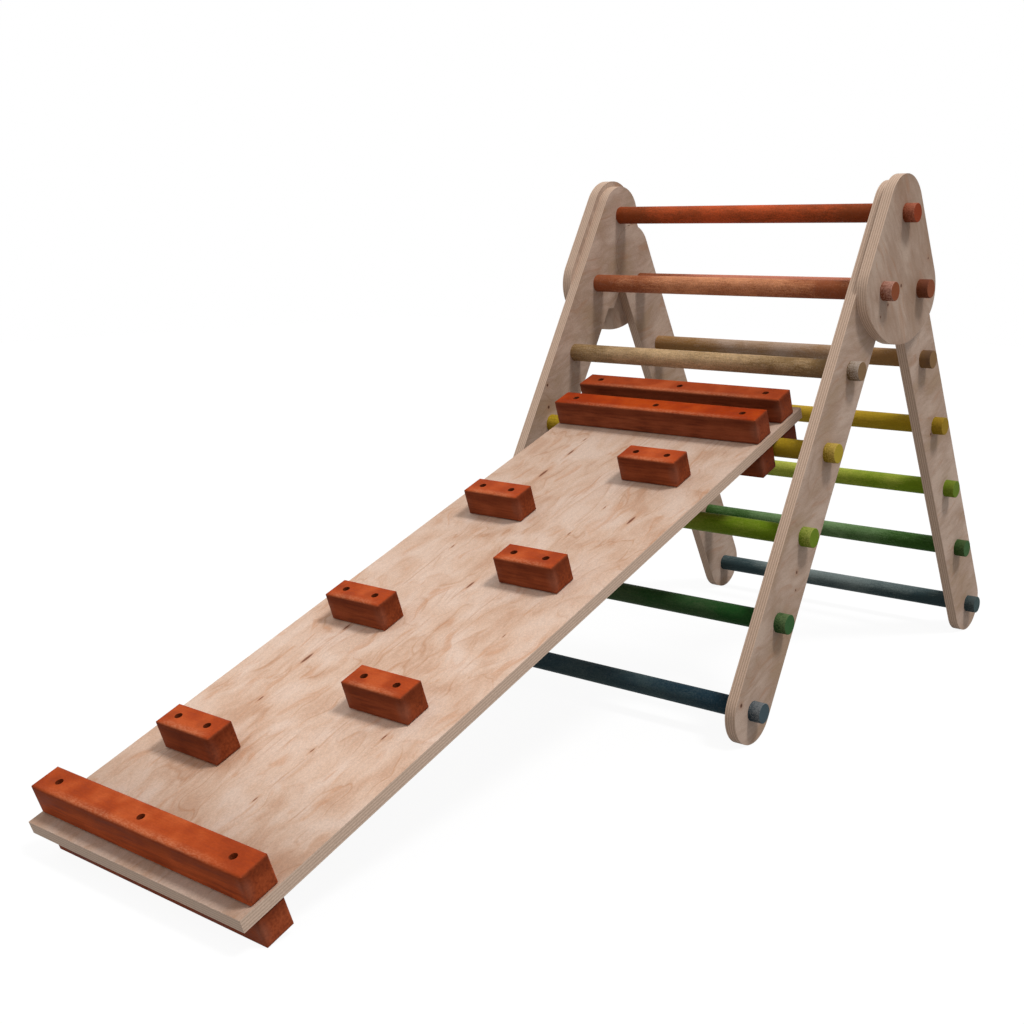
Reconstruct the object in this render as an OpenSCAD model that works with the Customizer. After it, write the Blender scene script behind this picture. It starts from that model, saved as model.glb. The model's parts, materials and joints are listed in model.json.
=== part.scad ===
// Folding climbing triangle for children, with a climbing ramp hooked over one rung.
// X runs along the rungs, +Y points to the rear ladder, +Z is up. Z = 0 is the floor.
// The origin lies on the floor, at the middle of the space that the whole object takes up.

/* [Ladders] */
// Distance between the centres of neighbouring rungs
rung_pitch = 145; // [135:1:155]
// Rungs on the front ladder, counted from the top rung
front_rungs = 7; // [6:1:8]
// Angle between each ladder and the upright
lean = 29; // [26:0.5:32]
// Clear width between the two front stringers
clear_width = 546; // [470:2:640]
// Diameter of the rung dowels
dowel_d = 32; // [28:1:35]
// Length of dowel that sticks out of the outermost wooden face
stub_length = 20; // [12:1:30]
// Radius of the rounding round each dowel end
dowel_end_r = 1; // [0.5:0.5:4]

/* [Plywood] */
// Thickness of the stringers
stringer_t = 18; // [15:1:21]
// Width of the stringers
stringer_w = 108; // [100:1:112]
// Thickness of the side plates
plate_t = 18; // [15:1:21]
// How far the side plates stand out past the stringers' edges
plate_margin = 10; // [6:1:14]
// How far the side plates' lower edge bows down past their two lower corners
plate_bow = 28; // [16:1:36]

/* [Fold] */
// Centre of the rear stringer's round head, measured from the pivot
head_reach = 62; // [56:1:68]
// Centre of the lug's lower end, measured from the centre of the second rung
lug_reach = 26; // [18:1:34]
// Angle of the lug's lower end to the stringer's cross section
lug_slant = 29; // [10:1:40]
// Clearance between the rear stringer's head and its pocket
seat_gap = 0.3; // [0.2:0.1:1]
// Clearance that the pocket's lip leaves as the head swings past it
swing_gap = 0.6; // [0.4:0.1:2]
// Clearance between the folded rear stringer and the lug
fold_gap = 0.3; // [0.2:0.1:1]
// Play of the rear stringer beside the side plate
side_play = 0.5; // [0.3:0.1:1]
// Radial clearance of the pivot dowel in the rear stringers
pivot_gap = 0.05; // [0.02:0.01:0.09]
// Radial width of the glue line round each fixed dowel
glue_gap = 0.05; // [0.02:0.01:0.1]

/* [Ramp] */
// Length of the ramp board
board_length = 1300; // [1200:5:1400]
// Width of the ramp board
board_w = 412; // [360:2:440]
// Thickness of the ramp board
board_t = 18; // [15:1:21]
// Rung that carries the ramp, counted from the top rung
hook_rung_number = 4; // [3:1:5]
// Gap between the ramp board and the rung that carries it
rest_gap = 0.3; // [0.2:0.1:0.6]
// Play of that rung between the two hook battens, on each side
hook_play = 1; // [0.5:0.5:3]

/* [Battens and blocks] */
// Width of the battens and blocks along the ramp
batten_w = 44; // [38:1:46]
// Height of the battens and blocks
batten_h = 44; // [38:1:46]
// Distance from the ends of the battens to the board's side edges
batten_inset = 2; // [0:0.5:12]
// Distance from each end of the board to its nearest batten
end_inset = 20; // [12:1:28]
// Length of the climbing blocks
block_length = 109; // [90:1:120]
// Distance from the board's side edge to the nearer column of blocks
block_margin = 56; // [50:1:64]
// Number of climbing blocks
blocks = 6; // [4:1:6]
// Distance from the hook rung to the highest block
first_block = 201; // [150:1:220]
// Radius of the rounded edges
edge_r = 4.5; // [1:0.5:6]

/* [Screws] */
// Diameter of the screw shanks
screw_d = 5; // [4:0.5:6]
// Diameter of the screw heads
screw_head_d = 9.6; // [8:0.2:10.4]
// Thickness of the screw heads
screw_head_h = 3; // [2:0.2:4]
// Diameter of the holes that the heads lie in
sink_d = 11; // [10.6:0.2:14]
// Depth of the top of each head below the wood
sink_depth = 8; // [4:1:12]
// Length of the long screws below their heads
long_screw = 80; // [70:1:84]
// Length of the short screws below their heads
short_screw = 44; // [36:1:46]
// Distance from each end of a batten to its outer screw
batten_screw_inset = 35; // [25:1:60]
// Distance from each end of a block to its screw
block_screw_inset = 25; // [18:1:34]
// Radial clearance round the screws
screw_gap = 0.05; // [0.02:0.01:0.1]

/* [Hidden] */

$fn = 96;
cut = 1; // how far a cutting shape runs past the wood
far = 2 * rung_pitch; // reaches past the side plate and the pocket from anywhere inside them

left = -1;
right = 1;
dowel_r = dowel_d / 2;
fixed_bore_r = dowel_r + glue_gap;
pivot_bore_r = dowel_r + pivot_gap;
bar_r = stringer_w / 2;
plate_r = bar_r + plate_margin;
head_swing_r = head_reach + bar_r; // the head's tip turns about the pivot on this radius

// Layers along X, each measured from the middle of the object
front_layer = clear_width / 2;
plate_layer = front_layer + stringer_t;
rear_layer = front_layer - side_play;
stringer_rung_half = plate_layer + stub_length;
plate_rung_half = plate_layer + plate_t + stub_length;

// Both ladders' centre lines meet in the top rung
ladder_length = (front_rungs - 1) * rung_pitch;
apex_z = bar_r + ladder_length * cos(lean);
// Distance from the front stringer's centre line to the folded rear stringer's edge
folded_edge = rung_pitch * sin(2 * lean) - bar_r;
lug_edge = folded_edge - fold_gap;
lug_end = rung_pitch + lug_reach;

// The ramp's own coordinates start in the hook rung: u runs up the board, v stands square to it
board_bottom = dowel_r + rest_gap;
board_top = board_bottom + board_t;
hook_u = dowel_r + hook_play + batten_w / 2;
board_high_u = hook_u + batten_w / 2 + end_inset;
board_low_u = board_high_u - board_length;
foot_u = board_low_u + end_inset + batten_w / 2;
hook_s = (hook_rung_number - 1) * rung_pitch;
hook_z = apex_z - hook_s * cos(lean);
// The rounded lower edge of the foot batten turns this into the slope that sets it on the floor
foot_arc_u = -(foot_u - batten_w / 2 + edge_r);
foot_arc_v = batten_h - board_bottom - edge_r;
slope = asin((hook_z - edge_r) / norm([foot_arc_u, foot_arc_v])) - atan2(foot_arc_v, foot_arc_u);

// Places along Y: the object's middle lies at Y = 0
front_reach = hook_s * sin(lean) - board_low_u * cos(slope) + board_top * sin(slope);
rear_reach = ladder_length * sin(lean) + bar_r;
apex_y = (front_reach - rear_reach) / 2;
hook_y = apex_y - hook_s * sin(lean);

// Across the ramp
batten_length = board_w - 2 * batten_inset;
batten_screw_x = batten_length / 2 - batten_screw_inset;
batten_screws = [-batten_screw_x, 0, batten_screw_x];
block_offset = board_w / 2 - block_margin - block_length / 2;
block_screw_x = block_length / 2 - block_screw_inset;
block_screws = [-block_screw_x, block_screw_x];
// The blocks go down the ramp in even steps, and the foot batten is one step below the last
block_pitch = (-foot_u - first_block) / blocks;

front_colours = ["#a8421f", "#b5622f", "#a37a45", "#9a8d2e", "#4d8f2b", "#1f5524", "#2c4654"];
rear_colours = ["#a9572d", "#6d5433", "#a99a3c", "#6d9a36", "#2c5f2c", "#3d515c"];

// Points in the side view, as [y, z]: s runs down a ladder from the top rung, n across it towards the rear
function front_at(s, n = 0) = [apex_y - s * sin(lean) + n * cos(lean), apex_z - s * cos(lean) - n * sin(lean)];
function rear_at(s, n = 0) = [apex_y + s * sin(lean) + n * cos(lean), apex_z - s * cos(lean) + n * sin(lean)];
function front_rung_at(i) = front_at((i - 1) * rung_pitch);
function rear_rung_at(i) = rear_at(i * rung_pitch);
// Climbing blocks go down the ramp, to the right and to the left in turn
function block_x(i) = (i % 2 == 1 ? right : left) * block_offset;
function block_u(i) = -(first_block + (i - 1) * block_pitch);
// Point where a line from a towards b leaves a circle of radius r round a
function towards(a, b, r) = a + r * (b - a) / norm(b - a);

// ---- helpers ----

// Stands a side-view outline up across X, from x over the thickness t
module slab(x, t) {
    translate([x, 0, 0])
        rotate([90, 0, 90])
            linear_extrude(t)
                children();
}

// The same on the left or the right side, with the near face at distance x from the middle
module side_slab(side, x, t) {
    slab(side == right ? x : -x - t, t)
        children();
}

// Outline of a bar of half width r with round ends at a and b
module bar_outline(a, b, r) {
    length = norm(b - a);
    translate(a)
        rotate(atan2(b.y - a.y, b.x - a.x)) {
            circle(r);
            translate([0, -r])
                square([length, 2 * r]);
            translate([length, 0])
                circle(r);
        }
}

// Round hole in an outline
module hole(p, r) {
    translate(p)
        circle(r);
}

// Rectangle round the origin with rounded corners
module rounded_rect(w, h, r) {
    square([w - 2 * r, h], center = true);
    square([w, h - 2 * r], center = true);
    for (x = [-1, 1], y = [-1, 1])
        translate([x * (w / 2 - r), y * (h / 2 - r)])
            circle(r);
}

// Places its children in the ramp's coordinates: X across, Y up the board, Z square to it
module on_ramp() {
    translate([0, hook_y, hook_z])
        rotate([slope, 0, 0])
            children();
}

// Half section of a dowel of radius r and half length h, with rounded ends
module dowel_section(r, h, end_r) {
    translate([0, -h])
        square([r - end_r, 2 * h]);
    translate([0, -h + end_r])
        square([r, 2 * (h - end_r)]);
    for (y = [-1, 1])
        translate([r - end_r, y * (h - end_r)])
            circle(end_r);
}

// Dowel across the object with its centre at p in the side view
module dowel(p, half_length) {
    translate([0, p.x, p.y])
        rotate([0, 90, 0])
            rotate_extrude()
                dowel_section(dowel_r, half_length, dowel_end_r);
}

// ---- side plates ----

// Three round corners round the rungs, straight front and rear edges, and a bowed lower edge
module plate_outline() {
    top = front_rung_at(1);
    front = front_rung_at(2);
    rear = rear_rung_at(1);
    // The bow's arc runs into both lower corners without a kink
    reach = rung_pitch * cos(lean) + plate_bow;
    bow_drop = (reach * reach - rung_pitch * rung_pitch) / (2 * plate_bow);
    bow_r = reach + plate_r - bow_drop;
    bow = [apex_y, apex_z - bow_drop];
    for (p = [top, front, rear])
        hole(p, plate_r);
    polygon([
        front_at(0, -plate_r),
        front_at(rung_pitch, -plate_r),
        front,
        rear,
        rear_at(rung_pitch, plate_r),
        rear_at(0, plate_r),
        top
    ]);
    intersection() {
        hole(bow, bow_r);
        polygon([bow, towards(bow, front, far), [apex_y, apex_z - far], towards(bow, rear, far)]);
    }
}

module side_plate(side) {
    color("#a88f7c")
        side_slab(side, plate_layer, plate_t)
            difference() {
                plate_outline();
                for (p = [front_rung_at(1), front_rung_at(2), rear_rung_at(1)])
                    hole(p, fixed_bore_r);
            }
}

// ---- front ladder ----

// Widening of the rear edge that the folded rear stringer lies against
module lug_outline() {
    slant = tan(lug_slant);
    polygon([
        front_at(lug_end + bar_r * slant),
        front_at(lug_end - (lug_edge - bar_r) * slant, lug_edge),
        front_at(rung_pitch - head_reach, lug_edge),
        front_at(rung_pitch - head_reach - bar_r)
    ]);
}

// Room for the rear stringer at rest, and for its head as it swings out to the rear
module pocket_outline() {
    pivot = rear_rung_at(1);
    bar_outline(rear_at(rung_pitch - head_reach), rear_at(rung_pitch + bar_r), bar_r + seat_gap);
    intersection() {
        hole(pivot, head_swing_r + swing_gap);
        polygon([rear_at(0), rear_at(rung_pitch), rear_at(rung_pitch, far), rear_at(0, far)]);
    }
}

module front_stringer(side) {
    color("#b09682")
        side_slab(side, front_layer, stringer_t)
            difference() {
                union() {
                    bar_outline(front_rung_at(1), front_rung_at(front_rungs), bar_r);
                    lug_outline();
                }
                pocket_outline();
                for (i = [1 : front_rungs])
                    hole(front_rung_at(i), fixed_bore_r);
            }
}

module front_rung(i) {
    color(front_colours[i - 1])
        dowel(front_rung_at(i), i <= 2 ? plate_rung_half : stringer_rung_half);
}

// ---- rear ladder ----

module rear_stringer(side) {
    color("#a88e7a")
        side_slab(side, rear_layer, stringer_t)
            difference() {
                bar_outline(rear_at(rung_pitch - head_reach), rear_rung_at(front_rungs - 1), bar_r);
                hole(rear_rung_at(1), pivot_bore_r);
                for (i = [2 : front_rungs - 1])
                    hole(rear_rung_at(i), fixed_bore_r);
            }
}

// The first rear rung is the pivot and sits fast in the side plates
module rear_rung(i) {
    color(rear_colours[i - 1])
        dowel(rear_rung_at(i), i == 1 ? plate_rung_half : stringer_rung_half - side_play);
}

// ---- ramp ----

// Straight-sided bar of wood along X with all its edges rounded, standing on Z = 0
module eased_bar(length, w, h) {
    translate([0, 0, h / 2])
        intersection() {
            rotate([90, 0, 90])
                linear_extrude(length, center = true)
                    rounded_rect(w, h, edge_r);
            linear_extrude(h, center = true)
                rounded_rect(length, w, edge_r);
            rotate([90, 0, 0])
                linear_extrude(w, center = true)
                    rounded_rect(length, h, edge_r);
        }
}

// Holes for screws driven down from the top of a batten or block of height h at Z = 0
module screw_holes(places, h, length) {
    for (x = places)
        translate([x, 0, h]) {
            translate([0, 0, -sink_depth - screw_head_h])
                cylinder(h = sink_depth + screw_head_h + cut, d = sink_d);
            translate([0, 0, -sink_depth - screw_head_h - length])
                cylinder(h = length + cut, r = screw_d / 2 + screw_gap);
        }
}

// Batten on top of the board, its centre line at u
module top_batten(u) {
    color("#9c4020")
        on_ramp()
            translate([0, u, board_top])
                difference() {
                    eased_bar(batten_length, batten_w, batten_h);
                    screw_holes(batten_screws, batten_h, long_screw);
                }
}

// Batten under the board, its centre line at u
module under_batten(u) {
    color("#8c3a1e")
        on_ramp()
            difference() {
                translate([0, u, board_bottom - batten_h])
                    eased_bar(batten_length, batten_w, batten_h);
                translate([0, u, board_top])
                    screw_holes(batten_screws, batten_h, long_screw);
            }
}

module ramp_board() {
    color("#c9b196")
        on_ramp()
            difference() {
                translate([-board_w / 2, board_low_u, board_bottom])
                    cube([board_w, board_length, board_t]);
                for (u = [foot_u, -hook_u, hook_u])
                    translate([0, u, board_top])
                        screw_holes(batten_screws, batten_h, long_screw);
                for (i = [1 : blocks])
                    translate([block_x(i), block_u(i), board_top])
                        screw_holes(block_screws, batten_h, short_screw);
            }
}

module climbing_block(i) {
    color("#9c4020")
        on_ramp()
            translate([block_x(i), block_u(i), board_top])
                difference() {
                    eased_bar(block_length, batten_w, batten_h);
                    screw_holes(block_screws, batten_h, short_screw);
                }
}

// Screw that hangs down from the underside of its head at Z = 0, with a crossed recess
module screw(length) {
    recess = screw_head_h / 2;
    point = screw_d;
    difference() {
        rotate_extrude()
            polygon([
                [0, -length],
                [screw_d / 2, point - length],
                [screw_d / 2, 0],
                [screw_head_d / 2, 0],
                [screw_head_d / 2, screw_head_h / 3],
                [screw_head_d / 3, screw_head_h],
                [0, screw_head_h]
            ]);
        for (turn = [0, 90])
            rotate([0, 0, turn])
                translate([-screw_head_d / 4, -screw_d / 10, screw_head_h - recess])
                    cube([screw_head_d / 2, screw_d / 5, recess + cut]);
    }
}

// Row of screws in a batten or block of height h on the board, its centre at [x, u]
module screw_row(x, u, places, length) {
    on_ramp()
        for (place = places)
            translate([x + place, u, board_top + batten_h - sink_depth - screw_head_h])
                screw(length);
}

module ramp_long_screws() {
    color("#c9c9c6")
        for (u = [foot_u, -hook_u, hook_u])
            screw_row(0, u, batten_screws, long_screw);
}

module ramp_short_screws() {
    color("#c9c9c6")
        for (i = [1 : blocks])
            screw_row(block_x(i), block_u(i), block_screws, short_screw);
}

side_plate(left);  // side_plate_left
side_plate(right);  // side_plate_right
front_stringer(left);  // front_stringer_left
front_stringer(right);  // front_stringer_right
for (i = [1 : front_rungs])
    front_rung(i);
rear_stringer(left);  // rear_stringer_left
rear_stringer(right);  // rear_stringer_right
for (i = [1 : front_rungs - 1])
    rear_rung(i);
ramp_board();
under_batten(foot_u);  // ramp_foot_batten
under_batten(-hook_u);  // ramp_hook_batten_front
under_batten(hook_u);  // ramp_hook_batten_rear
top_batten(foot_u);  // ramp_top_batten_low
top_batten(-hook_u);  // ramp_top_batten_front
top_batten(hook_u);  // ramp_top_batten_rear
for (i = [1 : blocks])
    climbing_block(i);
ramp_long_screws();
ramp_short_screws();
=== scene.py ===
import bpy
import json
import math
from functools import partial
from mathutils import Euler, Matrix, Vector


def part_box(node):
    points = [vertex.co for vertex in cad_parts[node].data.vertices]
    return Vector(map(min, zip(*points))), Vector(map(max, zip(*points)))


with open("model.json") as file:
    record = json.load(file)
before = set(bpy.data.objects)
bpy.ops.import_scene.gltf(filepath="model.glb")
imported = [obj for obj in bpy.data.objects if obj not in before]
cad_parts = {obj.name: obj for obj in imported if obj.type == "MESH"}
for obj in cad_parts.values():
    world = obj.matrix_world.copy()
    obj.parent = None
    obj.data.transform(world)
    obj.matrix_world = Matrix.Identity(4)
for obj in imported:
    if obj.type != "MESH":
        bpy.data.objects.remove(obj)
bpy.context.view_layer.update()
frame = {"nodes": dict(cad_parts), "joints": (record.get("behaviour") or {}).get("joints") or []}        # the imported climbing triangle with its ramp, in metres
nodes = frame["nodes"]
print("frame loaded:", len(nodes), "pieces")

# helpers that every material uses

mmPerMetre = 1000
smooth = {"interpolation_type": "SMOOTHSTEP"}                # a Map Range node with soft ends
inColour = {"data_type": "RGBA"}                             # a Mix node for colours
asTint = {"data_type": "RGBA", "blend_type": "MULTIPLY"}     # a Mix node that multiplies colours
overNoise = {"From Min": 0.3, "From Max": 0.7}               # where a noise pattern's values mostly lie


def linear(hexText):     # an sRGB hex colour as the linear values that a shader takes
    parts = [int(hexText[i:i + 2], 16) / 255 for i in (1, 3, 5)]
    return tuple(c / 12.92 if c <= 0.04045 else ((c + 0.055) / 1.055) ** 2.4 for c in parts) + (1.0,)


def gained(hexText, gain):             # that colour with its linear red, green and blue times a gain each
    return tuple(c * g for c, g in zip(linear(hexText), gain))


def stopColour(value):   # a ramp's colour, from a hex colour, three linear values or one grey
    if isinstance(value, str):
        return linear(value)
    return (*value, 1) if isinstance(value, tuple) else (value, value, value, 1)


def scaleOf(sizes):      # a pattern's scale along each axis, from its sizes in mm
    return tuple(mmPerMetre / size for size in sizes)


def span(pair):          # where a Map Range node starts and where it is full
    return {"From Min": pair[0], "From Max": pair[1]}


def levels(pair):        # and what it gives at its start and when full
    return {"To Min": pair[0], "To Max": pair[1]}


def add(tree, kind, links=None, stops=None, **settings):     # one shader node, its settings and what feeds it
    node = tree.nodes.new("ShaderNode" + kind)
    for name, value in settings.items():
        setattr(node, name, value)
    if stops:            # a colour ramp's stops: place and colour
        elements = node.color_ramp.elements
        elements.remove(elements[1])
        for number, (place, colour) in enumerate(stops):
            element = elements[0] if number == 0 else elements.new(place)
            element.position = place
            element.color = stopColour(colour)
    for socket, value in (links or {}).items():
        target = node.inputs[socket] if isinstance(socket, int) else next(
            s for s in node.inputs if s.name == socket and s.enabled)
        if isinstance(value, bpy.types.Node):
            value = next(s for s in value.outputs if s.enabled)
        if isinstance(value, bpy.types.NodeSocket):
            tree.links.new(value, target)
        else:
            target.default_value = value
    return node


def startMaterial(name, roughness, specular):    # a material with its shader, and add() tied to its tree
    material = bpy.data.materials.new(name)
    material.use_nodes = True
    tree = material.node_tree
    shader = tree.nodes["Principled BSDF"]
    shader.inputs["Roughness"].default_value = roughness
    shader.inputs["Specular IOR Level"].default_value = specular
    return material, shader, partial(add, tree)


def feed(material, shader, sources):             # what drives the shader's sockets
    for socket, node in sources.items():
        output = next(s for s in node.outputs if s.enabled)
        material.node_tree.links.new(output, shader.inputs[socket])
    return material


def weighed(n, first, second):         # the sum of two patterns, each times its share
    total = n("Math", {0: first[0], 1: first[1]}, operation="MULTIPLY")
    return n("Math", {0: second[0], 1: second[1], 2: total}, operation="MULTIPLY_ADD")


def distance(n, value, mark):          # how far a value is from a mark
    return n("Math", {0: n("Math", {0: value, 1: mark}, operation="SUBTRACT")}, operation="ABSOLUTE")


def falloff(n, away, rate):            # 1 at a mark, less further away: e to the minus rate times away
    return n("Math", {0: math.e, 1: n("Math", {0: away, 1: -rate}, operation="MULTIPLY")}, operation="POWER")


def shaded(n, colour, grey):           # a colour made darker or lighter by a grey pattern
    grey = n("CombineColor", {0: grey, 1: grey, 2: grey})
    return n("Mix", {"Factor": 1.0, "A": colour, "B": grey}, **asTint)


def relief(n, pattern, look):          # roughness and bump that follow a pattern
    rough = n("MapRange", {"Value": pattern.outputs["Fac"], **overNoise, **levels(look["rough"])})
    bump = n("Bump", {"Strength": look["bump"], "Distance": look["bumpDepth"],
                      "Height": pattern.outputs["Fac"]})
    return {"Roughness": rough, "Normal": bump}


def dress(names, material):
    for name in names:
        for slot in nodes[name].material_slots:
            slot.material = material


# the camera

cameraLook = {
    "place": (1.3363, -1.8223, 0.7827),
    "heading": 39.665,       # degrees round from +Y
    "tiltDown": 11.207,
    "lens": 49.61,           # mm on a 36 mm sensor
}


def makeCamera():
    data = bpy.data.cameras.new("photoCamera")
    data.lens = cameraLook["lens"]
    camera = bpy.data.objects.new("photoCamera", data)
    camera.location = cameraLook["place"]
    camera.rotation_euler = Euler((math.radians(90 - cameraLook["tiltDown"]), 0,
                                   math.radians(cameraLook["heading"])))
    bpy.context.scene.collection.objects.link(camera)
    bpy.context.scene.camera = camera


makeCamera()
print("camera made")


# the floor, the light and the background

studio = {
    "floorSide": 16.0,
    "floorGrey": "#9e9e9e",      # what the floor gives back as bounced light
    "floorGlow": 0.93,           # how white the floor looks in a shadow
    "floorCard": 0.09,           # and how much of the lamp's light it adds, so how strong shadows look on it
    "skyLow": 0.25, "skyHigh": 0.72,      # at the horizon and straight above
    "frontFill": 0.16,           # how much brighter it is towards -Y
    "lampLevel": 1.72,           # about half of a white card's brightness
    "lampSpread": 12.0,          # degrees, wide for soft shadows
    "lampHeight": 63.5,          # degrees above the floor
    "lampFrom": 0.0,             # degrees round from +X
}


def whiteRays(n):        # 1 for the camera's rays and what gloss, metal and glass show, 0 for other light
    path = n("LightPath")
    seen = n("Math", {0: path.outputs["Is Camera Ray"], 1: path.outputs["Is Glossy Ray"]},
             operation="MAXIMUM")
    return n("Math", {0: seen, 1: path.outputs["Is Transmission Ray"]}, operation="MAXIMUM")


def makeFloor():
    side, card = studio["floorSide"] / 2, studio["floorCard"]
    mesh = bpy.data.meshes.new("floor")
    corners = [(-side, -side, 0), (side, -side, 0), (side, side, 0), (-side, side, 0)]
    mesh.from_pydata(corners, [], [(0, 1, 2, 3)])
    floor = bpy.data.objects.new("floor", mesh)
    bpy.context.scene.collection.objects.link(floor)

    # to the eye and in gloss the floor is white with only the object's shadow on it, else it is grey
    material, _, n = startMaterial("matt paper floor", 1.0, 0.0)
    tree = material.node_tree
    grey = n("BsdfDiffuse", {"Color": linear(studio["floorGrey"])})
    white = n("AddShader", {0: n("BsdfDiffuse", {"Color": (card, card, card, 1)}),
                            1: n("Emission", {"Strength": studio["floorGlow"]})})
    mixed = n("MixShader", {0: whiteRays(n), 1: grey, 2: white})
    tree.links.new(mixed.outputs[0], tree.nodes["Material Output"].inputs["Surface"])
    mesh.materials.append(material)


def makeSky():
    world = bpy.data.worlds.new("studio")
    bpy.context.scene.world = world
    world.use_nodes = True
    n = partial(add, world.node_tree)
    direction = n("SeparateXYZ", {0: n("TexCoord").outputs["Generated"]})
    level = n("MapRange", {"Value": direction.outputs["Z"],
                           **levels((studio["skyLow"], studio["skyHigh"]))})
    front = n("MapRange", {"Value": direction.outputs["Y"], "From Min": 0.0, "From Max": -1.0,
                           "To Max": studio["frontFill"]})
    level = n("Math", {0: level, 1: front}, operation="ADD")
    level = n("Mix", {"Factor": whiteRays(n), "A": level, "B": 1.0})
    background = world.node_tree.nodes["Background"]
    background.inputs["Color"].default_value = (1, 1, 1, 1)
    world.node_tree.links.new(level.outputs[0], background.inputs["Strength"])


def makeLamp():
    lampData = bpy.data.lights.new("overheadLamp", "SUN")
    lampData.energy = studio["lampLevel"]
    lampData.angle = math.radians(studio["lampSpread"])
    lamp = bpy.data.objects.new("overheadLamp", lampData)
    height, turn = math.radians(studio["lampHeight"]), math.radians(studio["lampFrom"])
    toLamp = Vector((math.cos(height) * math.cos(turn), math.cos(height) * math.sin(turn), math.sin(height)))
    lamp.rotation_euler = toLamp.to_track_quat("Z", "Y").to_euler()
    bpy.context.scene.collection.objects.link(lamp)


makeFloor()
makeSky()
makeLamp()
bpy.context.scene.view_settings.view_transform = "Standard"
print("studio made")


# plywood: stringers, side plates and ramp board
# rotary-cut veneer, sanded and oiled thin: the knife cuts through the growth rings at a flat angle, so they
# show as soft level lines that wander, crowd together along the rows where branches grew and run round the
# pin knots. The edges show the glued plies as stripes. There is hardly any gloss.

liftAxis = Vector(next(j for j in frame["joints"] if j["name"] == "ramp_lift")["axis"]).normalized()
rampUp = Vector((0, liftAxis.z, -liftAxis.y))           # up along the board, square to the lift
rampTurn = Matrix(((1, 0, 0), rampUp, liftAxis))        # rows: across, along, through the board
rungLow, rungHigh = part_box("front_rung_4")
rampZero = (rungLow + rungHigh) / 2                     # the rung that the ramp hangs on


def sheetTurn(lean):     # rows across, along and through an upright sheet, its figure leaning by degrees
    c, s = math.cos(math.radians(lean)), math.sin(math.radians(lean))
    return Matrix(((0, c, s), (0, -s, c), (1, 0, 0)))


# what all the sheets share: sizes of patterns in mm, other lengths in m, strengths from 0 to 1
plyFigure = {
    "roughness": 0.6, "gloss": 0.10,
    "streakShare": 0.36, "cloudShare": 0.64,            # of small streaks and large patches in the tone
    "tones": (0.37, 0.48, 0.60),                        # where the tone is dark, middle and pale
    "ring": ((0.0, 0.0), (0.40, 0.04), (0.84, 0.50), (0.92, 1.0), (1.0, 0.0)),  # darkens slowly, ends sharp
    "fadeSize": 90, "fadeFrom": (0.46, 0.70), "faintest": 0.03,      # the rings fade in and out in patches
    "knotFall": 0.22,                                   # how fast a knot's hill falls off, per knot size
    "rowReach": 0.014, "rowHeight": 2.2,                # a row's ridge: its width, and its height in rings
    "threadSway": 0.016, "threadHalf": (0.0024, 0.0004), "thread": 0.45, "threadFrom": (0.46, 0.62),
    "veinHalf": 0.016, "veinFrom": (0.62, 0.40),        # half a vein, in pattern values; where it shows
    "stainScale": 0.7, "stainFrom": (0.57, 0.74), "stained": 0.45,   # below 1: larger than the streaks
    "haloReach": (3.6, 0.8), "knotReach": (1.3, 0.6), "knotted": 0.88,     # reaches in knot sizes
    "plyPair": 0.004, "pairShift": -0.25,               # a pale and a dark ply; where the first starts
    "darkPly": (0.26, 0.12),                            # how far from a pair's middle it reaches, in pairs
    "edgeFrom": (0.90, 0.60),                           # how far a face is turned before it counts as an edge
    "fibre": (1.6, 2.6, 1.6), "grain": (0.86, 1.11),
    "rough": (0.52, 0.70), "bump": 0.25, "bumpDepth": 0.0004,
}
ladderPly = {
    **plyFigure,
    "pale": "#c2aa99", "mid": "#b29886", "dark": "#a88d76",
    "line": "#916c55", "knot": "#4c2a1a", "stain": "#a97f64",
    "edgePale": "#d3b7a1", "edgeDark": "#b99a84",
    "cloud": (60, 110, 40), "streak": (10, 45, 15),     # mm across, along and through
    "wanderSize": 110, "wander": 0.05,
    "hill": (80, 160, 40), "rings": 4.0, "run": 8.0, "lines": 0.30,
    "vein": (40, 140, 40), "veins": 0.30,
    "rows": (), "crowd": 0.8,                           # where rows are; how rings crowd round a knot
    "knotSize": (2.6, 2.6, 12),
    "ends": (),
    "zero": Vector((0, 0, 0)),
}
# each knot's place and its size against knotSize: ladders in the frame's axes, the board in its own
stringerPly = {
    **ladderPly,
    "turn": sheetTurn(-74), "start": 0.273,
    "knots": ((0.291, -0.012, 0.072, 1.3), (0.291, 0.147, 0.223, 0.7), (0.291, 0.148, 0.252, 1.0),
              (-0.273, 0.225, 0.465, 1.2), (-0.273, 0.221, 0.506, 1.0), (0.291, 0.640, 0.420, 1.0),
              (-0.291, 0.300, 0.520, 1.0), (-0.291, 0.780, 0.200, 1.2)),
}
platePly = {
    **ladderPly,
    "pale": "#bca492", "mid": "#ab917f", "dark": "#a0846f",
    "turn": sheetTurn(38), "start": 0.291,
    "knots": ((0.309, 0.440, 0.695, 1.2), (0.309, 0.393, 0.665, 1.0), (0.309, 0.367, 0.646, 0.7),
              (0.309, 0.543, 0.739, 0.8), (-0.309, 0.480, 0.780, 1.0), (-0.291, 0.410, 0.730, 1.0)),
}
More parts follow.
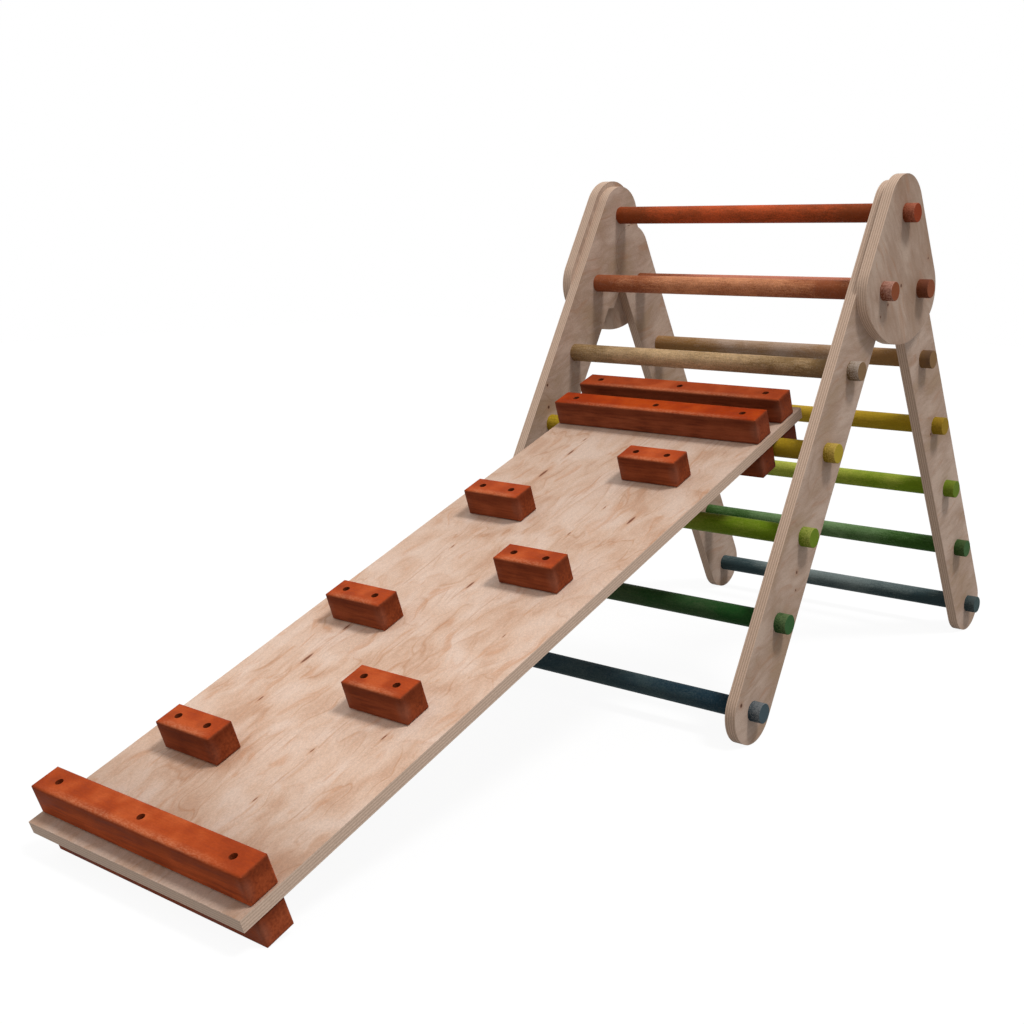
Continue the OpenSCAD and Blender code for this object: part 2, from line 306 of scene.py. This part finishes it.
boardPly = {
    **plyFigure,
    "turn": rampTurn, "zero": rampZero, "start": 0.0163,
    "pale": "#e0c4b1", "mid": "#d9b8a1", "dark": "#cca58b",
    "line": "#b57f58", "knot": "#6f3820", "stain": "#c68d66",
    "edgePale": "#d3b9a5", "edgeDark": "#c0a48f",
    "cloud": (70, 90, 40), "streak": (14, 50, 20),
    "wanderSize": 90, "wander": 0.06,
    "hill": (220, 150, 60), "rings": 3.0, "run": 9.0, "lines": 0.42,
    "vein": (46, 150, 60), "veins": 0.50,
    "ends": ((-1.20, -0.95, 0.72), (0.10, -0.80, 0.80)),     # painted shade: the board darker towards both ends; from, to, how deep
    "rows": (-0.109, 0.000, 0.062, 0.135), "crowd": 2.6,
    "knotSize": (2.4, 12, 12),
    "knots": ((-0.1106, -0.8037, 0.034, 1.1), (-0.1106, -0.2330, 0.034, 1.1), (0.1340, -0.3320, 0.034, 1.0),
              (-0.1106, -0.7205, 0.034, 0.7), (0.0010, -0.5660, 0.034, 0.8), (-0.1090, -0.1550, 0.034, 0.8),
              (0.0677, -0.3080, 0.034, 0.35), (0.0600, -1.0620, 0.034, 0.4), (0.0590, -0.9600, 0.034, 0.4),
              (0.0600, -0.3940, 0.034, 0.4), (0.1336, -0.9025, 0.034, 0.5), (-0.1136, -0.1060, 0.034, 0.4),
              (-0.1030, -0.9020, 0.034, 0.5), (0.1400, -0.6600, 0.034, 0.3), (-0.1060, -0.4800, 0.034, 0.4)),
}


def plywood(name, look):
    material, shader, n = startMaterial(name, look["roughness"], look["gloss"])
    place = n("TexCoord")
    turn, sway = look["turn"], look["wander"]
    own = n("Mapping", {"Vector": place.outputs["Object"], "Rotation": turn.to_euler(),
                        "Location": -(turn @ look["zero"])})
    wander = n("TexNoise", {"Vector": own, "Scale": mmPerMetre / look["wanderSize"], "Detail": 1.5})
    wander = n("VectorMath", {0: wander.outputs["Color"], 1: (0.5, 0.5, 0.5)}, operation="SUBTRACT")
    bent = n("VectorMath", {0: wander, 1: (sway, sway, 0), 2: own}, operation="MULTIPLY_ADD")
    sized = {key: n("VectorMath", {0: bent, 1: scaleOf(look[key])}, operation="MULTIPLY")
             for key in ("cloud", "streak", "hill", "vein")}

    # large patches and small streaks of early and late wood
    cloud = n("TexNoise", {"Vector": sized["cloud"], "Scale": 1.0, "Detail": 2.0})
    streak = n("TexNoise", {"Vector": sized["streak"], "Scale": 1.0, "Detail": 5.0, "Roughness": 0.6})
    tone = weighed(n, (streak.outputs["Fac"], look["streakShare"]),
                   (cloud.outputs["Fac"], look["cloudShare"]))
    shades = (look["dark"], look["mid"], look["pale"])
    colour = n("ValToRGB", {"Fac": tone}, stops=tuple(zip(look["tones"], shades)))

    # how near a pin knot is, counted in knot sizes
    knotScale = scaleOf(look["knotSize"])
    spread = n("VectorMath", {0: own, 1: knotScale}, operation="MULTIPLY")
    near = None
    for *spot, size in look["knots"]:
        spot = Vector(spot) if look["rows"] else turn @ Vector(spot)
        far = n("VectorMath", {0: spread, 1: [a * b for a, b in zip(spot, knotScale)]}, operation="DISTANCE")
        far = n("Math", {0: far.outputs["Value"], 1: 1 / size}, operation="MULTIPLY")
        near = far if near is None else n("Math", {0: near, 1: far}, operation="MINIMUM")

    # growth rings: level lines of a slow hill field, with a steep hill at each knot and a ridge on each row
    hill = n("TexNoise", {"Vector": sized["hill"], "Scale": 1.0, "Detail": 1.5, "Roughness": 0.4})
    split = n("SeparateXYZ", {0: own})
    rings = weighed(n, (hill.outputs["Fac"], look["rings"]), (split.outputs["Y"], look["run"]))
    rings = n("Math", {0: falloff(n, near, look["knotFall"]), 1: look["crowd"], 2: rings},
              operation="MULTIPLY_ADD")
    swayed = n("VectorMath", {0: wander, 1: (look["threadSway"], 0, 0), 2: own}, operation="MULTIPLY_ADD")
    bentX = n("SeparateXYZ", {0: swayed}).outputs["X"]
    thread = None
    for row in look["rows"]:
        ridge = falloff(n, distance(n, split.outputs["X"], row), 1 / look["rowReach"])
        rings = n("Math", {0: ridge, 1: look["rowHeight"], 2: rings}, operation="MULTIPLY_ADD")
        away = n("MapRange", {"Value": distance(n, bentX, row), **span(look["threadHalf"]),
                              "To Max": look["thread"]})
        thread = away if thread is None else n("Math", {0: thread, 1: away}, operation="MAXIMUM")
    line = n("ValToRGB", {"Fac": n("Math", {0: rings}, operation="FRACT")}, stops=look["ring"])
    fade = n("TexNoise", {"Vector": own, "Scale": mmPerMetre / look["fadeSize"], "Detail": 2.0})
    fade = n("MapRange", {"Value": fade.outputs["Fac"], **span(look["fadeFrom"]),
                          **levels((look["faintest"], look["lines"]))}, **smooth)
    line = n("Math", {0: line, 1: fade}, operation="MULTIPLY")

    # thin veins that fork and run on, where the large patches are dark
    vein = n("TexNoise", {"Vector": sized["vein"], "Scale": 1.0, "Detail": 2.0, "Roughness": 0.4,
                          "Distortion": 0.25})
    vein = n("MapRange", {"Value": distance(n, vein.outputs["Fac"], 0.5), "From Min": look["veinHalf"],
                          "From Max": 0.0, "To Max": look["veins"]})
    darkPatch = n("MapRange", {"Value": cloud.outputs["Fac"], **span(look["veinFrom"])})
    vein = n("Math", {0: vein, 1: darkPatch}, operation="MULTIPLY")
    line = n("Math", {0: line, 1: vein}, operation="MAXIMUM")
    if thread:           # the thin dark thread that joins the knots of a row, broken here and there
        broken = n("MapRange", {"Value": streak.outputs["Fac"], **span(look["threadFrom"])})
        thread = n("Math", {0: thread, 1: broken}, operation="MULTIPLY")
        line = n("Math", {0: line, 1: thread}, operation="MAXIMUM")
    colour = n("Mix", {"Factor": line, "A": colour, "B": linear(look["line"])}, **inColour)

    # warm stains of resin: small patches here and there, and round each knot
    warm = n("TexNoise", {"Vector": sized["streak"], "Scale": look["stainScale"], "Detail": 2.0,
                          "Distortion": 0.8})
    warm = n("MapRange", {"Value": warm.outputs["Fac"], **span(look["stainFrom"]), "To Max": look["stained"]},
             **smooth)
    halo = n("MapRange", {"Value": near, **span(look["haloReach"]), "To Max": look["stained"]}, **smooth)
    knot = n("MapRange", {"Value": near, **span(look["knotReach"]), "To Max": look["knotted"]}, **smooth)
    stain = n("Math", {0: warm, 1: halo}, operation="MAXIMUM")
    colour = n("Mix", {"Factor": stain, "A": colour, "B": linear(look["stain"])}, **inColour)
    colour = n("Mix", {"Factor": knot, "A": colour, "B": linear(look["knot"])}, **inColour)
    # painted shade: the board darker towards each end
    for end, clear, shadeDepth in look["ends"]:
        colour = shaded(n, colour, n("MapRange", {"Value": split.outputs["Y"], **span((end, clear)),
                                                  "To Min": shadeDepth}, **smooth))

    # the edge: pale plies with dark cross plies between them, nine in 18 mm
    depth = n("Math", {0: split.outputs["Z"]}, operation="ABSOLUTE")
    depth = n("Math", {0: depth, 1: look["start"]}, operation="SUBTRACT")
    pair = n("Math", {0: depth, 1: 1 / look["plyPair"], 2: look["pairShift"]}, operation="MULTIPLY_ADD")
    side = distance(n, n("Math", {0: pair}, operation="FRACT"), 0.5)
    darkPly = n("MapRange", {"Value": side, **span(look["darkPly"])}, **smooth)
    edge = n("Mix", {"Factor": darkPly, "A": linear(look["edgePale"]), "B": linear(look["edgeDark"])},
             **inColour)
    facing = n("VectorMath", {0: place.outputs["Normal"], 1: turn[2]}, operation="DOT_PRODUCT")
    facing = facing.outputs["Value"]
    onEdge = n("MapRange", {"Value": n("Math", {0: facing}, operation="ABSOLUTE"), **span(look["edgeFrom"])},
               **smooth)
    colour = n("Mix", {"Factor": onEdge, "A": colour, "B": edge}, **inColour)

    # fine fibre, 0.7 mm wide in the wood and drawn 1.6 mm wide so that it shows
    fibre = n("VectorMath", {0: own, 1: scaleOf(look["fibre"])}, operation="MULTIPLY")
    fibre = n("TexNoise", {"Vector": fibre, "Scale": 1.0, "Detail": 3.0, "Roughness": 0.6})
    grain = n("MapRange", {"Value": fibre.outputs["Fac"], **overNoise, **levels(look["grain"])})
    return feed(material, shader, {"Base Color": shaded(n, colour, grain), **relief(n, fibre, look)})


dress([name for name in nodes if "stringer" in name],
      plywood("birch plywood, sanded - stringers", stringerPly))
dress([name for name in nodes if "plate" in name], plywood("birch plywood, sanded - side plates", platePly))
dress(["ramp_board"], plywood("birch plywood, sanded - ramp board", boardPly))
print("plywood dressed")


# stained softwood: battens and climbing blocks
# planed pine with rounded arrises under a wiped red-orange stain; the sides are painted darker than the top
# as painted shade, with a darker band just under the top arris, and the top is rubbed to a sandy bloom along
# its low edge

stainedLook = {          # sizes of patterns in mm, other lengths in m, strengths from 0 to 1
    "top": ("#9c3d1b", "#ac461e", "#bc552a"),       # deep, middle, bright
    # the sides' deep, middle and bright colours, darker than the top's as painted shade
    "side": ("#6c311c", "#874226", "#974d2f"),
    # the corner patch's colour: partly wear, partly a painted highlight
    "bloom": "#c68a66", "wearAndPaintedLight": "#8d5a48", "smudge": "#56200f",
    "roughness": 0.6, "gloss": 0.045,
    "section": 0.044,                               # the timber's thickness
    "holes": {"block": 0.025, "batten": 0.035},     # from its ends to the first screw
    "shuffle": 7,                                   # moves each piece elsewhere in the patterns
    "streak": (50.0, 4.0, 4.0), "cloud": 30, "sand": (4, 2, 2),      # along, across and through
    "streakShare": 0.25, "cloudShare": 0.75,        # in the tone of the top
    "sideStreak": 0.55, "sideTone": 0.45,           # the sides show more of the streaks
    "tones": (0.33, 0.50, 0.67),                    # where the tone is deep, middle and bright
    "middleFrom": 0.1, "middle": (-0.07, 0.05),     # share of the half length; what ends and middle add
    "topFrom": (0.45, 0.97), "endFrom": (0.7, 0.97),         # how square a face is to count as top or end
    "bandReach": (0.026, 0.006), "banded": 0.50,
    "smudgeShift": 0.010, "smudgeReach": (0.013, 0.004), "smudged": 0.35,
    "sandFrom": (0.40, 0.62), "sandLeast": 0.25,
    "bloomReach": (0.014, 0.004), "bloomed": 0.40, "bloomMiddle": 0.5,
    # the pale corner patch, partly rubbed wear and partly a painted highlight
    "cornerSquash": 0.7, "cornerReach": (0.017, 0.003), "paleWearAndLight": 0.80,
    "grain": (0.95, 1.05),
    "rough": (0.5, 0.7), "bump": 0.2, "bumpDepth": 0.0004,
}
paintedLightGain = {            # painted light and shade: how much brighter some pieces are than the rest, on top, on the sides, on the ends, standing in for how each piece is lit, such as the high battens lying in less light
    "ramp_top_batten_low": ((0.97, 1.0, 1.0), (1.62, 1.28, 0.92), (0.74, 0.78, 0.90)),
    "ramp_foot_batten": ((1.0, 1.0, 1.0), (1.30, 1.20, 1.15), (1.0, 1.0, 1.0)),
    "ramp_top_batten_front": ((0.83, 0.58, 0.18), (1.0, 1.08, 1.2), (1.12, 1.0, 1.0)),
    "ramp_top_batten_rear": ((0.84, 0.87, 0.98), (1.0, 1.0, 1.0), (1.22, 1.13, 1.05)),
}
plainGain = ((1.0, 1.0, 1.0), (1.0, 1.0, 1.0), (0.86, 0.79, 0.71))     # the blocks and hook battens, their ends painted darker as painted shade


def stainedPine(piece, look):
    low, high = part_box(piece)
    centre = rampTurn @ ((low + high) / 2)
    halfLength, half = (high.x - low.x) / 2, look["section"] / 2
    toHoles = halfLength - look["holes"]["block" if "block" in piece else "batten"]
    topGain, sideGain, endGain = paintedLightGain.get(piece, plainGain)
    material, shader, n = startMaterial("stained pine, wiped - " + piece, look["roughness"], look["gloss"])
    place = n("TexCoord")
    centred = n("Mapping", {"Vector": place.outputs["Object"], "Rotation": rampTurn.to_euler(),
                            "Location": -centre})
    own = n("VectorMath", {0: centred, 1: centre * look["shuffle"]}, operation="ADD")
    streak = n("VectorMath", {0: own, 1: scaleOf(look["streak"])}, operation="MULTIPLY")
    streak = n("TexNoise", {"Vector": streak, "Scale": 1.0, "Detail": 3.0, "Roughness": 0.5,
                            "Distortion": 0.3})
    cloud = n("TexNoise", {"Vector": own, "Scale": mmPerMetre / look["cloud"], "Detail": 2.0,
                           "Roughness": 0.35})
    tone = weighed(n, (streak.outputs["Fac"], look["streakShare"]),
                   (cloud.outputs["Fac"], look["cloudShare"]))

    # rubbed brighter in the middle of its length, deeper towards the ends
    split = n("SeparateXYZ", {0: centred})
    length = n("Math", {0: split.outputs["X"]}, operation="ABSOLUTE")
    middle = n("MapRange", {"Value": length, **span((halfLength, look["middleFrom"] * halfLength)),
                            **levels(look["middle"])}, **smooth)
    topTone = n("Math", {0: tone, 1: middle}, operation="ADD")
    top = n("ValToRGB", {"Fac": topTone},
            stops=tuple((at, gained(c, topGain)) for at, c in zip(look["tones"], look["top"])))
    sideTone = weighed(n, (streak.outputs["Fac"], look["sideStreak"]), (tone, look["sideTone"]))
    side = n("ValToRGB", {"Fac": sideTone},
             stops=tuple((at, gained(c, sideGain)) for at, c in zip(look["tones"], look["side"])))
    facing = n("VectorMath", {0: place.outputs["Normal"], 1: liftAxis}, operation="DOT_PRODUCT")
    facing = facing.outputs["Value"]
    # painted shade: the sides take a darker copy of the stain than the top
    onTop = n("MapRange", {"Value": facing, **span(look["topFrom"])}, **smooth)
    colour = n("Mix", {"Factor": onTop, "A": side, "B": top}, **inColour)
    across = n("SeparateXYZ", {0: place.outputs["Normal"]}).outputs["X"]
    onEnd = n("MapRange", {"Value": n("Math", {0: across}, operation="ABSOLUTE"), **span(look["endFrom"])},
              **smooth)
    # painted shade: the end faces multiplied by the piece's end gain
    colour = n("Mix", {"Factor": onEnd, "A": colour, "B": (*endGain, 1)}, **asTint)

    # a dark band on the sides just under the top arris, and a faint smudge beside each hole
    down = n("Math", {0: split.outputs["Y"], 1: half}, operation="ADD")
    rise = n("Math", {0: half, 1: split.outputs["Z"]}, operation="SUBTRACT")
    endwise = n("Math", {0: halfLength, 1: length}, operation="SUBTRACT")
    band = n("MapRange", {"Value": rise, **span(look["bandReach"]), "To Max": look["banded"]}, **smooth)
    band = n("Math", {0: band, 1: n("Math", {0: 1.0, 1: onTop}, operation="SUBTRACT")}, operation="MULTIPLY")
    beside = distance(n, split.outputs["X"], -look["smudgeShift"])
    beside = n("Math", {0: beside, 1: toHoles}, operation="SUBTRACT")
    toHole = n("VectorMath", {0: n("CombineXYZ", {0: beside, 1: split.outputs["Y"]})}, operation="LENGTH")
    smudge = n("MapRange", {"Value": toHole.outputs["Value"], **span(look["smudgeReach"]),
                            "To Max": look["smudged"]}, **smooth)
    blotch = n("Math", {0: cloud.outputs["Fac"], 1: onTop}, operation="MULTIPLY")
    smudge = n("Math", {0: smudge, 1: blotch}, operation="MULTIPLY")
    colour = n("Mix", {"Factor": n("Math", {0: band, 1: smudge}, operation="MAXIMUM"), "A": colour,
                       "B": linear(look["smudge"])}, **inColour)

    # sandy bloom on the top along its low arris, and a pale patch at half height of the low upright corners
    # that is partly rubbed wear and partly a painted highlight
    sand = n("VectorMath", {0: own, 1: scaleOf(look["sand"])}, operation="MULTIPLY")
    sand = n("TexNoise", {"Vector": sand, "Scale": 1.0, "Detail": 3.0})
    sand = n("MapRange", {"Value": sand.outputs["Fac"], **span(look["sandFrom"]),
                          "To Min": look["sandLeast"]})
    toArris = n("MapRange", {"Value": down, **span(look["bloomReach"]), "To Max": look["bloomed"]}, **smooth)
    offEnds = n("MapRange", {"Value": length, **span((halfLength, look["bloomMiddle"] * halfLength))},
                **smooth)
    bloom = n("Math", {0: toArris, 1: offEnds}, operation="MULTIPLY")
    bloom = n("Math", {0: bloom, 1: onTop}, operation="MULTIPLY")
    colour = n("Mix", {"Factor": n("Math", {0: bloom, 1: sand}, operation="MULTIPLY"), "A": colour,
                       "B": linear(look["bloom"])}, **inColour)
    # partly wear and partly painted highlight: the pale patch at the low upright corners
    flat = n("Math", {0: split.outputs["Z"], 1: look["cornerSquash"]}, operation="MULTIPLY")
    toCorner = n("VectorMath", {0: n("CombineXYZ", {0: down, 1: endwise, 2: flat})}, operation="LENGTH")
    wearAndPaintedLight = n("MapRange", {"Value": toCorner.outputs["Value"], **span(look["cornerReach"]),
                            "To Max": look["paleWearAndLight"]}, **smooth)
    wearAndPaintedLight = n("Math", {0: wearAndPaintedLight, 1: cloud.outputs["Fac"]}, operation="MULTIPLY")
    colour = n("Mix", {"Factor": wearAndPaintedLight, "A": colour, "B": linear(look["wearAndPaintedLight"])}, **inColour)
    grain = n("MapRange", {"Value": sand, **span((look["sandLeast"], 1.0)), **levels(look["grain"])})
    return feed(material, shader, {"Base Color": shaded(n, colour, grain), **relief(n, streak, look)})


for piece in [name for name in nodes if "batten" in name or "block" in name]:
    dress([piece], stainedPine(piece, stainedLook))
print("battens and blocks dressed")


# dyed dowels: the rungs
# turned beech, dyed by hand and rubbed down: streaks run along it, it is paler in the middle and deeper
# towards the ends, and its upper side is paler than its lower partly as wear and partly as painted light and
# shade

# deep, pale (worn and lit), stub, end face, and how much paler the upper side is than the lower, partly wear
# and partly painted light and shade (below 0: the upper side darker)
dowelLook = {
    "front_rung_1": ("#863f1f", "#ce5a30", "#aa644d", "#8c3716", 0.04),
    "front_rung_2": ("#904f30", "#d89369", "#b28474", "#87482a", 0.02),
    "front_rung_3": ("#856945", "#d5b287", "#ac9d90", "#85684a", -0.01),
    "front_rung_4": ("#9d811d", "#dcbc3a", "#b89c4c", "#ab942e", 0.04),
    "front_rung_5": ("#6b8717", "#96a240", "#929a48", "#687e1f", 0.04),
    "front_rung_6": ("#224d22", "#44593a", "#566a44", "#345a30", -0.05),
    "front_rung_7": ("#233a46", "#445557", "#6c7072", "#435258", -0.06),
    "rear_rung_1": ("#814627", "#cb7f66", "#764533", "#874a2e", 0.12),
    "rear_rung_2": ("#9b7447", "#b9a08c", "#684f3b", "#846542", 0.05),
    "rear_rung_3": ("#a68a1e", "#c19e33", "#9a7c28", "#95771d", 0.05),
    "rear_rung_4": ("#748e1d", "#b4b850", "#70802c", "#5f751c", 0.06),
    "rear_rung_5": ("#31541e", "#708d5f", "#445834", "#37592e", 0.05),
    "rear_rung_6": ("#37484b", "#76817f", "#4a5454", "#3b4c4c", 0.11),
}
# what all the rungs share: sizes of patterns in mm, other lengths in m, strengths from 0 to 1
dowelWear = {
    "roughness": 0.58, "gloss": 0.05,
    "shuffle": 9,                                    # moves each rung elsewhere in the patterns
    "cloud": (70, 45, 45), "streak": (16, 3.0, 3.0), "speck": 2.2, "scuff": 22,
    "shares": (0.60, 0.46, 0.36), "balance": 0.21,   # of cloud, streak, speck; taken off so the mean is 0.5
    "middleReach": (0.28, 0.04), "middle": (-0.19, 0.08),     # where from and to; what ends and middle add
    "upperFrom": (-0.5, 0.9),                        # how far a face looks up to count as the upper side
    "tones": (0.34, 0.70),                           # where the tone is deep and worn
    "scuffHalf": 0.028, "scuffed": 0.20,             # half a scuff, in the pattern's values
    # rim: deeper at the stub's root as painted shade, paler at its rim as wear; the next: painted light and
    # shade, paler on top, darker below
    "rimReach": (0.020, 0.002), "rim": (-0.16, 0.10), "paintedTopLight": (-0.16, 0.12),
    "stubTones": (0.24, 0.64), "rootShade": 0.65,    # where the stub's ramp is deep and pale, and how much darker its painted root shade is
    "stubReach": (0.024, 0.018),                     # from its end, where the stub's look starts
    "endFrom": (0.80, 0.97),
    "grain": (0.90, 1.09),
    "rough": (0.5, 0.68), "bump": 0.25, "bumpDepth": 0.0004,
}


def dyedDowel(piece, colours, look):
    deep, paleWearAndLight, stub, end, upperWearAndShade = colours
    low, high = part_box(piece)
    material, shader, n = startMaterial("dyed beech dowel - " + piece, look["roughness"], look["gloss"])
    place = n("TexCoord")
    own = n("VectorMath", {0: place.outputs["Object"], 1: low * look["shuffle"]}, operation="ADD")
    streak = n("VectorMath", {0: own, 1: scaleOf(look["streak"])}, operation="MULTIPLY")
    streak = n("TexNoise", {"Vector": streak, "Scale": 1.0, "Detail": 4.0, "Roughness": 0.65,
                            "Distortion": 0.3})
    speck = n("TexNoise", {"Vector": own, "Scale": mmPerMetre / look["speck"], "Detail": 2.0,
                           "Roughness": 0.6})
    cloud = n("VectorMath", {0: own, 1: scaleOf(look["cloud"])}, operation="MULTIPLY")
    cloud = n("TexNoise", {"Vector": cloud, "Scale": 1.0, "Detail": 2.0, "Roughness": 0.4})

    # the barrel: paler in the middle and deeper towards the ends; paler on its upper side and darker on its
    # lower side, partly wear and partly painted light and shade; in clouds, streaks and specks, with pale
    # scuffs
    length = n("Math", {0: n("SeparateXYZ", {0: place.outputs["Object"]}).outputs["X"]}, operation="ABSOLUTE")
    middle = n("MapRange", {"Value": length, **span(look["middleReach"]), **levels(look["middle"])}, **smooth)
    facing = n("SeparateXYZ", {0: place.outputs["Normal"]})
    # painted light and shade, partly wear: the upper side paler and the lower side darker
    upper = n("MapRange", {"Value": facing.outputs["Z"], **span(look["upperFrom"]),
                           **levels((-upperWearAndShade, upperWearAndShade))}, **smooth)
    tone = n("Math", {0: middle, 1: upper}, operation="ADD")
    for pattern, share in zip((cloud, streak, speck), look["shares"]):
        tone = n("Math", {0: pattern.outputs["Fac"], 1: share, 2: tone}, operation="MULTIPLY_ADD")
    tone = n("Math", {0: tone, 1: look["balance"]}, operation="SUBTRACT")
    scuff = n("TexNoise", {"Vector": own, "Scale": mmPerMetre / look["scuff"], "Detail": 3.0,
                           "Roughness": 0.7, "Distortion": 1.6})
    scuff = n("MapRange", {"Value": distance(n, scuff.outputs["Fac"], 0.5), "From Min": look["scuffHalf"],
                           "From Max": 0.0, "To Max": look["scuffed"]})
    colour = n("ValToRGB", {"Fac": tone}, stops=tuple(zip(look["tones"], (deep, paleWearAndLight))))
    colour = n("Mix", {"Factor": scuff, "A": colour, "B": linear(stub)}, **inColour)

    # the stub outside the frame: painted shade deep at its root and underside, painted light on its top, and
    # rubbed pale towards its rim as wear
    root, outside = look["rimReach"]
    rim = n("MapRange", {"Value": length, **span((high.x - root, high.x - outside)), **levels(look["rim"])})
    # painted light and shade: the stub paler on top and darker below
    paintedTopLight = n("MapRange", {"Value": facing.outputs["Z"], **span((-1.0, 1.0)), **levels(look["paintedTopLight"])})
    wearAndPaintedLight = n("Math", {0: rim, 1: paintedTopLight}, operation="ADD")
    wearAndPaintedLight = n("Math", {0: wearAndPaintedLight, 1: speck.outputs["Fac"]}, operation="ADD")
    wearAndPaintedLight = n("ValToRGB", {"Fac": wearAndPaintedLight},
               stops=tuple(zip(look["stubTones"], (gained(deep, [look["rootShade"]] * 3), stub))))
    start, full = look["stubReach"]
    onStub = n("MapRange", {"Value": length, **span((high.x - start, high.x - full))})
    colour = n("Mix", {"Factor": onStub, "A": colour, "B": wearAndPaintedLight}, **inColour)
    onEnd = n("MapRange", {"Value": n("Math", {0: facing.outputs["X"]}, operation="ABSOLUTE"),
                           **span(look["endFrom"])}, **smooth)
    colour = n("Mix", {"Factor": onEnd, "A": colour, "B": linear(end)}, **inColour)
    grain = n("MapRange", {"Value": speck.outputs["Fac"], **overNoise, **levels(look["grain"])})
    return feed(material, shader, {"Base Color": shaded(n, colour, grain), **relief(n, streak, look)})


for piece, colours in dowelLook.items():
    dress([piece], dyedDowel(piece, colours, dowelWear))
print("rungs dressed")


# zinc-plated steel: the sunk screws
# bright, slightly rough plating with dull spots, deep in dark holes

screwLook = {
    "dull": "#a9a9a4", "bright": "#d2d2cc",
    "spot": 1.5,                                     # mm
    "spotTones": (0.35, 0.6), "roughFrom": (0.35, 0.65), "rough": (0.24, 0.40),
    "roughness": 0.32, "gloss": 0.5,
}


def zincScrew(look):
    material, shader, n = startMaterial("zinc-plated steel", look["roughness"], look["gloss"])
    shader.inputs["Metallic"].default_value = 1.0
    place = n("TexCoord")
    spots = n("TexNoise", {"Vector": place.outputs["Object"], "Scale": mmPerMetre / look["spot"],
                           "Detail": 2.0})
    colour = n("ValToRGB", {"Fac": spots.outputs["Fac"]},
               stops=tuple(zip(look["spotTones"], (look["dull"], look["bright"]))))
    rough = n("MapRange", {"Value": spots.outputs["Fac"], **span(look["roughFrom"]), **levels(look["rough"])})
    return feed(material, shader, {"Base Color": colour, "Roughness": rough})


dress(["ramp_long_screws", "ramp_short_screws"], zincScrew(screwLook))
print("screws dressed")


# the end

print("done")
